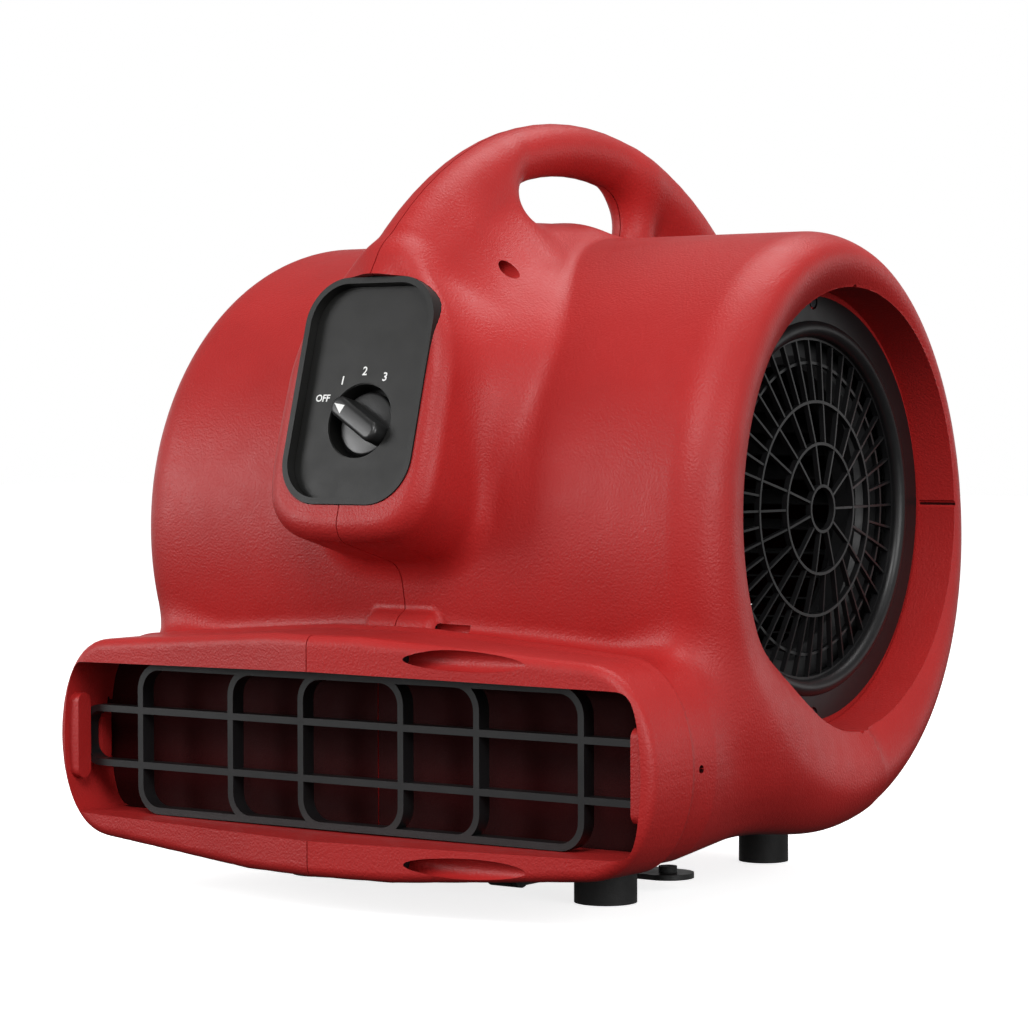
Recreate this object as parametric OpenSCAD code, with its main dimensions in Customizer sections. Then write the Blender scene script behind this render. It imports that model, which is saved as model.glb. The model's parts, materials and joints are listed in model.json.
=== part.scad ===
// Air mover: a double-inlet centrifugal floor dryer in a two-part moulded housing.
// X runs along the fan axis, -Y is the outlet side and Z is up from the floor.

/* [Drum] */
// Outer radius of the drum
drum_r = 194.5; // [192:0.5:197]
// Radius of the drum's rounded edge
drum_edge_r = 34; // [30:1:38]
// Half of the drum's width at its rear
drum_rear_half = 208; // [206:1:211]
// Half of the drum's width at its front
drum_front_half = 232; // [226:1:234]
// Thickness of the moulded walls
wall = 4; // [3:0.5:4.5]
// Radius of the round intake opening
intake_r = 145; // [144:0.5:146]

/* [Outlet] */
// Half of the outlet lip's width
lip_half_w = 234; // [232:1:236]
// Sweep of each half of the lip's front face, in degrees
prow_angle = 6.7; // [6:0.1:7.4]
// Thickness of the outlet grille's bars
bar_t = 4.4; // [3.5:0.1:5]
// Depth of the outlet grille's bars
bar_depth = 10.6; // [9:0.1:12]

/* [Controls] */
// Lean of the control panel from the vertical, in degrees
panel_lean = 15.5; // [14:0.5:17]
// Width of the control panel
panel_w = 101; // [98:1:104]
// Height of the control panel along its slope
panel_h = 147; // [144:1:150]
// Radius of the dial's well
well_r = 24; // [23:0.5:25]

/* [Fan] */
// Outer radius of the blower wheel
wheel_r = 122; // [118:1:124]
// Half of the blower wheel's width
wheel_half_w = 130; // [126:1:130]
// Number of blades
blade_count = 36; // [30:1:40]
// Radius of the motor casing
motor_r = 70; // [66:1:72]
// Radius of the motor shaft
shaft_r = 6.35; // [6:0.05:6.5]

/* [Stand] */
// Radius of a front foot
front_foot_r = 20; // [18:0.5:21]
// Radius of a rear foot
rear_foot_r = 17; // [15:0.5:18]
// Half of the width of the kickstand's foot bar
stand_half_w = 136; // [130:1:140]

/* [Hidden] */
$fn = 72;
cut = 1;
big = 600;
gap = 0.3;

// The fan axis is at fan_y, fan_z. The drum's centre is lower and further forward.
fan_y = 74;
fan_z = 245;
drum_y = 48;
drum_z = 231;
ledge_x = 170;
front_y = -242.5;
collar_back_y = -168;
neck_y = -100;
duct_back_y = 70;

// Lip outline: heights of its top and bottom edges at the middle and where its end arcs start.
lip_top_mid = 173;
lip_top_end = 162.5;
lip_bottom_mid = 24;
lip_bottom_end = 33;
lip_flat_half = 182;

// ---------------------------------------------------------------- helpers

module x_rod(r, x0, x1, y, z) {
    translate([x0, y, z]) rotate([0, 90, 0]) cylinder(r = r, h = x1 - x0);
}

module x_ring(r_out, r_in, x0, x1, y, z) {
    difference() {
        x_rod(r_out, x0, x1, y, z);
        x_rod(r_in, x0 - cut, x1 + cut, y, z);
    }
}

// Turns a profile of [radius, x] points about the X axis through (y, z).
module x_turned(points, y, z) {
    translate([0, y, z]) rotate([0, 90, 0]) rotate_extrude() polygon(points);
}

// Extrudes an [x, z] outline along Y from y0 to y1.
module along_y(points, y0, y1) {
    translate([0, y1, 0]) rotate([90, 0, 0]) linear_extrude(height = y1 - y0) polygon(points);
}

// Extrudes a [y, z] outline along X from x0 to x1.
module yz_plate(points, x0, x1) {
    translate([x0, 0, 0]) rotate([90, 0, 90]) linear_extrude(height = x1 - x0) polygon(points);
}

module z_rod(r, x, y, z0, z1) {
    translate([x, y, z0]) cylinder(r = r, h = z1 - z0);
}

module y_rod(r, x, z, y0, y1) {
    translate([x, y1, z]) rotate([90, 0, 0]) cylinder(r = r, h = y1 - y0);
}

module both_sides() {
    children();
    mirror([1, 0, 0]) children();
}

// A rounded rectangle as an exact two-dimensional shape.
module round_rect(w, h, r) {
    square([w - 2 * r, h], center = true);
    square([w, h - 2 * r], center = true);
    for (sx = [-1, 1]) for (sy = [-1, 1])
        translate([sx * (w / 2 - r), sy * (h / 2 - r)]) circle(r = r);
}

// ---------------------------------------------------------------- housing shell

// The drum's half solid: a disc on the parting plane and a rounded end that is set at a slant,
// so the drum is wider at its front than at its rear.
slant = atan((drum_front_half - drum_rear_half) / (2 * drum_r));
end_half = (drum_front_half + drum_rear_half) / 2;
module drum_solid(inset = 0) {
    hull() {
        x_rod(drum_r - inset, inset > 0 ? -cut : 0, 1, drum_y, drum_z, $fn = 72);
        translate([end_half - inset, drum_y, drum_z]) rotate([0, 0, slant]) rotate([0, 90, 0])
            translate([0, 0, -drum_edge_r]) rotate_extrude($fn = 72)
                translate([drum_r - drum_edge_r, 0]) circle(r = drum_edge_r - inset, $fn = 32);
    }
}

// Right half of the lip's outline, as [x, z] points, moved inwards by in_z and in_x. Cavities
// start at x0 = -cut, so that they pass the parting plane.
function half_outline(in_z, in_x, x0 = 0, flat_half = lip_flat_half) =
    let (z1 = lip_top_end - in_z, z0 = lip_bottom_end + in_z, mid = (z1 + z0) / 2,
         half_h = (z1 - z0) / 2, arc_w = lip_half_w - in_x - flat_half)
    concat([[x0, lip_bottom_mid + in_z]],
           [for (a = [-90:15:90]) [flat_half + arc_w * pow(cos(a), 0.8), mid + half_h * sin(a)]],
           [[x0, lip_top_mid - in_z]]);

// Section of the duct at its rear end, under the drum.
function duct_back(in, x0) =
    [[x0, 37 + in], [140, 37 + in], [180 - in, 54 + in], [196 - in, 84], [196 - in, 120],
     [x0, 120]];

module duct_solid(in = 0) {
    x0 = in > 0 ? -cut : 0;
    hull() {
        along_y(half_outline(3 + in, 3 + in, x0), collar_back_y - 6 - in, collar_back_y + 30);
        along_y(duct_back(in, x0), duct_back_y - 1, duct_back_y);
    }
}

// Everything in front of the swept front face of the right half, moved back by inset.
module front_cut(inset = 0) {
    translate([0, front_y + inset, 0]) rotate([0, 0, prow_angle])
        translate([-50, -100, -50]) cube([400, 100, 300]);
}

module collar_solid() {
    difference() {
        along_y(half_outline(0, 0), front_y, collar_back_y);
        front_cut();
    }
}

// The mouth is a straight-walled sleeve inside the collar. mouth_outline grows it by out.
function mouth_outline(out) =
    concat([[-cut, 46.6 - out]],
           [for (a = [-90:15:90]) [207 + (20 + out) * pow(cos(a), 0.6), 97 + (49.5 + out) * sin(a)]],
           [[-cut, 150.6 + out]]);

module mouth_cavity() {
    along_y(mouth_outline(0), front_y - 10, collar_back_y - 5);
}

// Hollow between the collar's outer skin and its sleeve, open towards the duct.
module collar_void() {
    difference() {
        along_y(half_outline(wall, wall, -cut), front_y, collar_back_y - 4);
        translate([-cut, 0, 0]) along_y(mouth_outline(wall), front_y - cut, collar_back_y - 9);
        front_cut(wall);
    }
}

// Local frame of the control panel: x is across, y is up its slope and z stands out of it.
panel_y = -190;
panel_z = 323;
module at_panel() {
    translate([0, panel_y, panel_z]) rotate([90 - panel_lean, 0, 0]) children();
}

// Right half of the pod that carries the controls, in the panel's frame.
function pod_points(in) =
    let (w = 66 - in, bottom = -96 + in)
    concat([[-cut, bottom]],
           [for (a = [-90:15:0]) [w - 38 + 38 * cos(a), bottom + 38 + 38 * sin(a)]],
           [[w - 3, 25], [w - 15, 56], [w - 33, 80], [17 - in, 97], [-cut, 97]]);
pod_depth = 130;

module pod_solid() {
    intersection() {
        at_panel() translate([0, 0, -pod_depth]) linear_extrude(height = pod_depth)
            polygon(pod_points(0));
        translate([0, -big, 0]) cube([big, 2 * big, big]);
    }
}

module pod_cavity() {
    difference() {
        at_panel() translate([0, 0, -pod_depth]) linear_extrude(height = pod_depth - wall)
            polygon([for (p = pod_points(wall)) [p[0], min(p[1], 86)]]);
        x_rod(drum_r - 2, -2 * cut, 90, drum_y, drum_z);
    }
}

module panel_opening() {
    at_panel() translate([0, 0, -12]) linear_extrude(height = 24)
        round_rect(panel_w + 2 * gap, panel_h + 2 * gap, 30);
}

// The handle is an arch of round section, with a web below it that the hand gap goes through.
arch_y = 38;
arch_z = 234.7;
arch_r = 251.3;
grip_r = 17.7;
web_half_w = 10;
function arch_point(r, a) = [arch_y + r * cos(a), arch_z + r * sin(a)];

module arch(tube_r, a0, a1) {
    translate([0, arch_y, arch_z]) rotate([0, 90, 0]) rotate([0, 0, 90 + a0])
        rotate_extrude(angle = a1 - a0) translate([arch_r, 0]) circle(r = tube_r);
}

grip_gap_y = [-43, 104];
module handle_solid() {
    intersection() {
        union() {
            arch(grip_r, 45, 132);
            difference() {
                yz_plate(concat([for (a = [46:4:130]) arch_point(arch_r, a)],
                    [[-115, 372], [-50, 372], [48, 400], [200, 345]]), -web_half_w, web_half_w);
                hand_gap();
            }
        }
        translate([0, -big, 0]) cube([big, 2 * big, big]);
    }
}

// The hand gap: flat below and arched above.
module hand_gap() {
    difference() {
        x_rod(235, -30, 30, arch_y, arch_z);
        translate([-40, -big, 0]) cube([80, 2 * big, 422]);
        translate([-40, grip_gap_y[1], 0]) cube([80, big, big]);
        translate([-40, grip_gap_y[0] - big, 0]) cube([80, big, big]);
    }
}

// Screws that join the halves, as [y, z, x of the screw's head, access radius, boss radius,
// length of the access hole].
joint_screws = [[-228, 160.5, 62, 6.5, 4.5, 90], [-228, 36.5, 62, 6.5, 4.5, 90], [-143, 171, 20, 5, 8, 30],
    [-94, 400, 24, 6, 8, 60], [8, 414, 30, 6, 8, 60], [172, 374, 14, 6, 8, 30],
    [230, 285, 16, 6, 8, 14], [229, 172, 16, 6, 8, 14], [158, 76, 16, 6, 8, 14]];

module joint_bosses() {
    for (s = joint_screws) x_rod(s[4], 0, s[2], s[0], s[1]);
}

module joint_holes() {
    for (s = joint_screws) {
        x_rod(2.2, -cut, s[2] + cut, s[0], s[1]);
        x_rod(s[3], s[2], s[2] + s[5], s[0], s[1]);
    }
}

foot_places = [[115, -86], [97, 135]];
foot_h = 30;
stand_y = -112;
stand_z = 16;

module foot_bosses() {
    z_rod(front_foot_r + 3, foot_places[0][0], foot_places[0][1], foot_h, 44);
    difference() {
        z_rod(rear_foot_r + 3, foot_places[1][0], foot_places[1][1], foot_h, 90);
        x_rod(drum_r - wall, 0, 190, drum_y, drum_z);
    }
    translate([56, stand_y - 18, 24]) cube([40, 34, 14]);
}

// Places of the intake grille's screws, as angles from the top.
intake_screw_r = 136;
intake_screw_angles = [0, 180];
module at_intake_screws() {
    for (a = intake_screw_angles)
        translate([0, fan_y + intake_screw_r * sin(a), fan_z + intake_screw_r * cos(a)]) children();
}

// The intake's straight bore opens into a cone that runs out through the drum's end face.
dish_x = 203;
module intake_cut() {
    x_turned([[0, ledge_x], [intake_r, ledge_x], [intake_r, dish_x], [intake_r + 40, dish_x + 36],
        [0, dish_x + 36]], fan_y, fan_z);
}

module intake_recess() {
    intersection() {
        x_turned([[intake_r, ledge_x - wall], [intake_r + wall, ledge_x - wall],
            [intake_r + wall, dish_x - 2], [intake_r + wall + 38, dish_x + 32.2],
            [intake_r + 40, dish_x + 36], [intake_r, dish_x]], fan_y, fan_z);
        behind_end_face();
    }
    difference() {
        x_ring(intake_r + wall, 128, ledge_x - wall, ledge_x, fan_y, fan_z);
        at_intake_screws() x_rod(1.9, ledge_x - 10, ledge_x + 10, 0, 0);
    }
}

// The half space behind the slanted end face, kept just under the drum's rounded edge.
module behind_end_face() {
    intersection() {
        translate([end_half, drum_y, drum_z]) rotate([0, 0, slant])
            translate([-300, -300, -300]) cube([300, 600, 600]);
        translate([end_half, drum_y, drum_z]) rotate([0, 0, slant]) rotate([0, 90, 0])
            translate([0, 0, -120]) rotate_extrude() drum_edge_profile();
    }
}

module drum_edge_profile() {
    square([drum_r - 1, 120 - drum_edge_r]);
    square([drum_r - drum_edge_r, 120 - 0.4]);
    translate([drum_r - drum_edge_r, 120 - drum_edge_r]) circle(r = drum_edge_r - 1);
}

// Pads at the lip's end that hold the outlet grille's end loop between them.
module grille_pads() {
    translate([218, -206.4, grille_z]) rotate([90, 0, 90]) linear_extrude(height = 11)
        round_rect(12, 56, 5.9);
    translate([219, -184, grille_z]) rotate([90, 0, 90]) linear_extrude(height = 10)
        round_rect(9, 36, 4.4);
}

module half_housing(gland = false) {
    difference() {
        union() {
            difference() {
                union() {
                    drum_solid();
                    duct_solid();
                    collar_solid();
                    pod_solid();
                    handle_solid();
                }
                drum_solid(wall);
                duct_solid(wall);
                mouth_cavity();
                collar_void();
                pod_cavity();
                arch(grip_r - wall, 62, 118);
            }
            joint_bosses();
            intersection() {
                union() for (i = [0, 1])
                    x_rod(joint_screws[i][3] + 2.5, 0, 160, joint_screws[i][0], joint_screws[i][1]);
                collar_solid();
            }
            foot_bosses();
            grille_pads();
            if (gland) y_rod(17, gland_x, gland_z, gland_nut_y, gland_seat_y);
        }
        if (gland) y_rod(10.05, gland_x, gland_z, gland_seat_y - 40, gland_seat_y + cut);
        joint_holes();
        panel_opening();
        intake_cut();
        x_rod(2.6, 212, 240, -156, grille_z);
        for (p = foot_places) z_rod(2.1, p[0], p[1], foot_h - cut, foot_h + 12);
        for (p = foot_places) z_rod(front_foot_r + 0.3, p[0], p[1], 10, foot_h);
        for (x = [75, 90]) z_rod(1.6, x, stand_y, 23, 33);
    }
    intake_recess();
}

// Place of the cord gland's seat, on the left half: gland_x is measured away from the middle.
gland_x = 70;
gland_z = 112;
gland_seat_y = 213;
gland_nut_y = 180.7;

module housing_right() {
    color([0.72, 0.06, 0.06]) half_housing();
}

// The left half is the right half's mirror image, with a seat for the cord gland.
module housing_left() {
    color([0.72, 0.06, 0.06]) mirror([1, 0, 0]) half_housing(gland = true);
}

module housing_screws() {
    color([0.2, 0.2, 0.22]) for (s = joint_screws) {
        x_rod(2.15, -s[2] + 4, s[2], s[0], s[1]);
        x_rod(4.2, s[2], s[2] + 3, s[0], s[1]);
    }
}

// ---------------------------------------------------------------- outlet grille

grille_y = -194.6;
grille_z = 97;
grille_h = 98.4;
loop_halves = [39.7, 97.6, 174.5];

// One closed loop of bar: w and h are its outer sizes.
module bar_loop(w, h, r) {
    translate([0, grille_y + bar_depth / 2, grille_z]) rotate([90, 0, 0])
        linear_extrude(height = bar_depth) difference() {
            round_rect(w, h, r);
            round_rect(w - 2 * bar_t, h - 2 * bar_t, r - bar_t);
        }
}

module outlet_grille() {
    color([0.04, 0.04, 0.045]) {
        for (x = loop_halves) bar_loop(2 * x + bar_t, grille_h, 18);
        bar_loop(451.6, 35.8 + bar_t, 15);
    }
}

// ---------------------------------------------------------------- intakes

module inlet_ring() {
    difference() {
        x_turned([[147, 166], [147, 163], [129, 163], [127, 152], [104, 152], [98, 148], [97, 133],
            [95, 133], [95, 150], [101, 155], [125, 155], [126, 166]], fan_y, fan_z);
        at_intake_screws() x_rod(1.9, 150, 180, 0, 0);
        for (a = mount_angles)
            x_rod(2.6, 145, 165, fan_y + mount_r * sin(a), fan_z + mount_r * cos(a));
    }
}

module inlet_ring_right() {
    color([0.1, 0.1, 0.11]) inlet_ring();
}

module inlet_ring_left() {
    color([0.1, 0.1, 0.11]) mirror([1, 0, 0]) inlet_ring();
}

// Radii of the intake grille's rings and the x of each ring's front face: the grille is a low dome.
ring_r = [15, 42.8, 70.4, 112];
ring_x = [180, 178.5, 174.6, 169];
spoke_counts = [11, 22, 44];
rib_w = 1.5;
rib_d = 4;

module intake_grille() {
    // Flange and rounded collar.
    difference() {
        union() {
            x_ring(140, 121, ledge_x + 0.1, ledge_x + 2.6, fan_y, fan_z);
            translate([ledge_x, fan_y, fan_z]) rotate([0, 90, 0]) rotate_extrude()
                translate([118.5, 0]) circle(r = 5.8);
        }
        at_intake_screws() x_rod(5.2, ledge_x - 1, ledge_x + 12, 0, 0);
    }
    for (i = [0:3])
        x_ring(ring_r[i] + 1, ring_r[i] - 0.9, ring_x[i] - rib_d, ring_x[i], fan_y, fan_z);
    x_ring(97, 95.2, ledge_x - 4.5, ledge_x - 1, fan_y, fan_z);
    translate([0, fan_y, fan_z]) for (i = [0:2]) for (k = [0:spoke_counts[i] - 1])
        rotate([-k * 360 / spoke_counts[i], 0, 0]) spoke(i);
}

// One rib of ring gap i, drawn along +Y with its slope.
module spoke(i) {
    translate([-0.1, 0, 0]) translate([0, 0, -rib_w / 2]) linear_extrude(height = rib_w)
        polygon([[ring_x[i] - 0.2, ring_r[i]], [ring_x[i + 1] - 0.2, ring_r[i + 1]],
                 [ring_x[i + 1] - rib_d + 0.3, ring_r[i + 1]], [ring_x[i] - rib_d + 0.3, ring_r[i]]]);
}

module intake_grille_right() {
    color([0.04, 0.04, 0.045]) intake_grille();
}

module intake_grille_left() {
    color([0.04, 0.04, 0.045]) mirror([1, 0, 0]) intake_grille();
}

module intake_screws() {
    at_intake_screws() {
        x_rod(1.85, 158, ledge_x, 0, 0);
        x_rod(3.6, ledge_x, ledge_x + 2.4, 0, 0);
    }
}

module intake_screws_right() {
    color([0.15, 0.15, 0.16]) intake_screws();
}

module intake_screws_left() {
    color([0.15, 0.15, 0.16]) mirror([1, 0, 0]) intake_screws();
}

// ---------------------------------------------------------------- blower wheel

module blower_wheel() {
    blade_in = wheel_r - 22;
    color([0.12, 0.12, 0.13]) {
        both_sides() x_ring(wheel_r, wheel_r - 23, wheel_half_w - 3, wheel_half_w, fan_y, fan_z);
        x_ring(wheel_r - 1, 18.02, -1.5, 1.5, fan_y, fan_z);
        for (k = [0:blade_count - 1]) translate([0, fan_y, fan_z])
            rotate([k * 360 / blade_count, 0, 0]) translate([-wheel_half_w + 2, blade_in, 0])
                rotate([24, 0, 0]) translate([0, -0.5, -0.6]) cube([2 * wheel_half_w - 4, 22.4, 1.2]);
    }
}

module wheel_hub() {
    color([0.6, 0.6, 0.62]) difference() {
        union() {
            x_rod(18, -16, 16, fan_y, fan_z);
            x_rod(26, 1.52, 4.5, fan_y, fan_z);
        }
        x_rod(shaft_r + 0.01, -17, 17, fan_y, fan_z);
        z_rod(2.5, 10, fan_y, fan_z, fan_z + 30);
    }
}

module hub_set_screw() {
    color([0.2, 0.2, 0.22]) z_rod(2.45, 10, fan_y, fan_z + shaft_r + 0.1, fan_z + 17.5);
}

module motor_shaft() {
    color([0.7, 0.7, 0.72]) x_rod(shaft_r, -153, 15, fan_y, fan_z);
}

module motor_rotor() {
    color([0.45, 0.45, 0.48]) x_ring(38, shaft_r + 0.01, -130, -72, fan_y, fan_z);
}

// ---------------------------------------------------------------- motor

module motor_stator() {
    color([0.5, 0.5, 0.52]) x_ring(motor_r - 4.02, 38.6, -132, -70, fan_y, fan_z);
}

module motor_windings() {
    color([0.7, 0.35, 0.15]) {
        x_ring(57, 42, -146, -132.02, fan_y, fan_z);
        x_ring(57, 42, -69.98, -56, fan_y, fan_z);
    }
}

module motor_casing() {
    color([0.15, 0.15, 0.16]) x_ring(motor_r, motor_r - 4, -151, -51, fan_y, fan_z);
}

module motor_bell(x0, x1, boss0, boss1) {
    difference() {
        union() {
            x_rod(motor_r, x0, x1, fan_y, fan_z);
            x_rod(22, boss0, boss1, fan_y, fan_z);
        }
        x_rod(16.02, -151, -141, fan_y, fan_z);
        x_rod(16.02, -61, -51, fan_y, fan_z);
        x_rod(shaft_r + 0.5, -156, -40, fan_y, fan_z);
    }
}

module motor_bell_inner() {
    color([0.2, 0.2, 0.21]) motor_bell(-51, -47, -62, -49);
}

module motor_bell_outer() {
    color([0.2, 0.2, 0.21]) difference() {
        motor_bell(-155, -151, -153, -140);
        for (a = [0, 90, 180, 270])
            x_rod(2.15, -170, -130, fan_y + 61.5 * sin(a), fan_z + 61.5 * cos(a));
    }
}

module motor_bearings() {
    color([0.65, 0.65, 0.68]) {
        x_ring(16, shaft_r + 0.02, -150.9, -141.5, fan_y, fan_z);
        x_ring(16, shaft_r + 0.02, -60.5, -51.1, fan_y, fan_z);
    }
}

// The mount is a ring with three arms that bolt to the left inlet ring.
mount_angles = [60, 180, 300];
mount_r = 116;
module motor_mount() {
    color([0.25, 0.25, 0.27]) difference() {
        union() {
            x_rod(68, -158, -155, fan_y, fan_z);
            for (a = mount_angles) translate([-158, fan_y, fan_z]) rotate([-a, 0, 0])
                translate([0, -12, 40]) cube([3, 24, 84]);
        }
        x_rod(40, -160, -150, fan_y, fan_z);
        for (a = mount_angles) x_rod(2.6, -165, -145, fan_y + mount_r * sin(a), fan_z + mount_r * cos(a));
        for (a = [0, 90, 180, 270])
            x_rod(2.15, -170, -130, fan_y + 61.5 * sin(a), fan_z + 61.5 * cos(a));
    }
}

module motor_mount_bolts() {
    color([0.6, 0.6, 0.62]) {
        for (a = mount_angles) translate([0, fan_y + mount_r * sin(a), fan_z + mount_r * cos(a)]) {
            x_rod(5, -161, -158, 0, 0);
            x_rod(2.5, -158.5, -147, 0, 0);
            x_rod(4.6, -152, -148, 0, 0, $fn = 6);
        }
        for (a = [0, 90, 180, 270]) translate([0, fan_y + 61.5 * sin(a), fan_z + 61.5 * cos(a)]) {
            x_rod(4, -161, -158, 0, 0);
            x_rod(2.1, -158.5, -140, 0, 0);
        }
    }
}

// ---------------------------------------------------------------- controls

well_c = [0, -18];
face_z = -7;
module control_panel() {
    color([0.04, 0.04, 0.045]) at_panel() difference() {
        union() {
            translate([0, 0, face_z - 3]) linear_extrude(height = 3) round_rect(panel_w, panel_h, 30);
            translate([0, 0, face_z - 3]) linear_extrude(height = -face_z + 4) difference() {
                round_rect(panel_w, panel_h, 30);
                round_rect(panel_w - 8, panel_h - 8, 26);
            }
            translate([well_c[0], well_c[1], face_z - 16]) cylinder(r = well_r + 2.5, h = 14);
            // Tabs behind the pod's wall hold the panel between the two halves of the housing.
            for (x = [-panel_w / 2 - 4, panel_w / 2 - 2]) translate([x, -40, -wall - 3.3]) cube([6, 50, 3]);
            for (y = [-panel_h / 2 - 5, panel_h / 2 - 2]) translate([-13, y, -wall - 3.3]) cube([26, 7, 3]);
        }
        translate([well_c[0], well_c[1], face_z - 13.5]) cylinder(r = well_r, h = 30);
        translate([well_c[0], well_c[1], face_z - 20]) cylinder(r = 3.6, h = 20);
    }
}

// The printed plate on the panel's face, with a hole for the dial's well.
module panel_label() {
    color([0.04, 0.04, 0.045]) at_panel() translate([0, 0, face_z]) difference() {
        linear_extrude(height = 0.8) round_rect(panel_w - 8.6, panel_h - 8.6, 25.7);
        translate([well_c[0], well_c[1], -cut]) cylinder(r = well_r + 0.5, h = 3);
    }
}

module speed_knob() {
    color([0.03, 0.03, 0.035]) at_panel() translate([well_c[0], well_c[1], 0]) {
        translate([0, 0, face_z - 13]) cylinder(r = 20.6, h = 7);
        intersection() {
            translate([0, 0, face_z - 6.5]) linear_extrude(height = 16.5) rotate([0, 0, 60]) {
                translate([-7, -19]) square([14, 36]);
                translate([0, 17]) circle(r = 7);
                translate([0, -17]) circle(r = 7);
            }
            translate([0, 0, face_z - 30]) cylinder(r = 23.6, h = 60);
        }
        translate([0, 0, face_z - 24]) cylinder(r = 3, h = 12);
    }
}

module rotary_switch() {
    color([0.1, 0.1, 0.1]) at_panel() translate([well_c[0], well_c[1], 0]) difference() {
        translate([-17, -17, face_z - 38]) cube([34, 34, 21.5]);
        translate([0, 0, face_z - 25]) cylinder(r = 3.06, h = 20);
    }
}

module switch_terminals() {
    color([0.7, 0.6, 0.3]) at_panel() for (x = [-9, -3, 3, 9])
        translate([x - 0.5, well_c[1] - 3, face_z - 43.9]) cube([1, 6, 5.9]);
}

cap_at = [-34, 44, -34];
module run_capacitor() {
    color([0.75, 0.75, 0.76]) at_panel() translate(cap_at) rotate([0, 90, 0]) cylinder(r = 15, h = 68);
}

module capacitor_clamp() {
    color([0.3, 0.3, 0.32]) difference() {
        at_panel() translate([-6, cap_at[1], cap_at[2]]) {
            rotate([0, 90, 0]) cylinder(r = 16.6, h = 12);
            translate([0, -9, -40]) cube([12, 18, 30]);
        }
        at_panel() translate([-7, cap_at[1], cap_at[2]]) rotate([0, 90, 0]) cylinder(r = 15.02, h = 14);
        x_rod(drum_r + 0.05, -20, 20, drum_y, drum_z);
    }
}

// ---------------------------------------------------------------- cord inlet

module cord_gland() {
    color([0.05, 0.05, 0.05]) mirror([1, 0, 0]) difference() {
        union() {
            y_rod(10, gland_x, gland_z, 170, gland_seat_y);
            y_rod(14, gland_x, gland_z, gland_seat_y, gland_seat_y + 4);
            y_rod(11, gland_x, gland_z, gland_seat_y + 3, gland_seat_y + 14);
        }
        y_rod(4.6, gland_x, gland_z, 165, 240);
    }
}

module cord_gland_nut() {
    color([0.05, 0.05, 0.05]) mirror([1, 0, 0]) difference() {
        translate([gland_x, gland_nut_y, gland_z]) rotate([90, 0, 0]) cylinder(r = 13.5, h = 6, $fn = 6);
        y_rod(10.02, gland_x, gland_z, 165, 200);
    }
}

// ---------------------------------------------------------------- feet and kickstand

module foot(r, p) {
    difference() {
        z_rod(r, p[0], p[1], 0, foot_h);
        z_rod(6, p[0], p[1], -cut, 12);
        z_rod(2.2, p[0], p[1], -cut, foot_h + cut);
    }
}

module foot_front_right() {
    color([0.05, 0.05, 0.05]) foot(front_foot_r, foot_places[0]);
}

module foot_front_left() {
    color([0.05, 0.05, 0.05]) mirror([1, 0, 0]) foot(front_foot_r, foot_places[0]);
}

module foot_rear_right() {
    color([0.05, 0.05, 0.05]) foot(rear_foot_r, foot_places[1]);
}

module foot_rear_left() {
    color([0.05, 0.05, 0.05]) mirror([1, 0, 0]) foot(rear_foot_r, foot_places[1]);
}

module foot_screws() {
    color([0.3, 0.3, 0.32]) both_sides() for (p = foot_places) {
        z_rod(5, p[0], p[1], 9, 12);
        z_rod(2.05, p[0], p[1], 12, foot_h + 11);
    }
}

// Two flat arms with hinge eyes, joined by a wide bar that the machine stands on.
module kickstand() {
    color([0.06, 0.06, 0.06]) {
        both_sides() difference() {
            union() {
                translate([46, stand_y, stand_z - 8]) cube([18, 92, 3.5]);
                x_rod(8, 46, 64, stand_y, stand_z);
            }
            x_rod(4.06, 40, 70, stand_y, stand_z);
        }
        translate([0, stand_y + 92, stand_z - 8]) linear_extrude(height = 3.5) {
            square([2 * (stand_half_w - 17), 34], center = true);
            for (s = [-1, 1]) translate([s * (stand_half_w - 17), 0]) circle(r = 17);
        }
    }
}

module kickstand_pads() {
    color([0.08, 0.08, 0.08]) both_sides()
        z_rod(6, stand_half_w - 17, stand_y + 92, stand_z - 4.5, stand_z - 0.5);
}

module kickstand_rod() {
    color([0.6, 0.6, 0.62]) x_rod(4, -74, 74, stand_y, stand_z);
}

module kickstand_brackets() {
    color([0.2, 0.2, 0.22]) both_sides() difference() {
        union() {
            translate([65, stand_y - 12, 21]) cube([32, 24, 3]);
            translate([65, stand_y - 8, stand_z]) cube([4, 16, 6]);
            x_rod(8, 65, 69, stand_y, stand_z);
        }
        x_rod(4.0, 60, 80, stand_y, stand_z);
        for (x = [75, 90]) z_rod(1.6, x, stand_y, 10, 30);
    }
}

housing_right();
housing_left();
outlet_grille();
inlet_ring_right();
inlet_ring_left();
intake_grille_right();
intake_grille_left();
intake_screws_right();
intake_screws_left();
blower_wheel();
wheel_hub();
hub_set_screw();
motor_shaft();
motor_rotor();
motor_stator();
motor_windings();
motor_casing();
motor_bell_inner();
motor_bell_outer();
motor_bearings();
motor_mount();
motor_mount_bolts();
control_panel();
panel_label();
rotary_switch();
switch_terminals();
speed_knob();
run_capacitor();
capacitor_clamp();
cord_gland();
cord_gland_nut();
foot_front_right();
foot_front_left();
foot_rear_right();
foot_rear_left();
foot_screws();
kickstand();
kickstand_pads();
kickstand_rod();
kickstand_brackets();
housing_screws();
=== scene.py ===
"""Looks of a floor air mover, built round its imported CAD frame. Lengths in the shape code are in
millimetres and become metres when a mesh is made."""

import bpy
import bmesh
import json
import math
import numpy as np
from mathutils import Matrix, Vector


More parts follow.
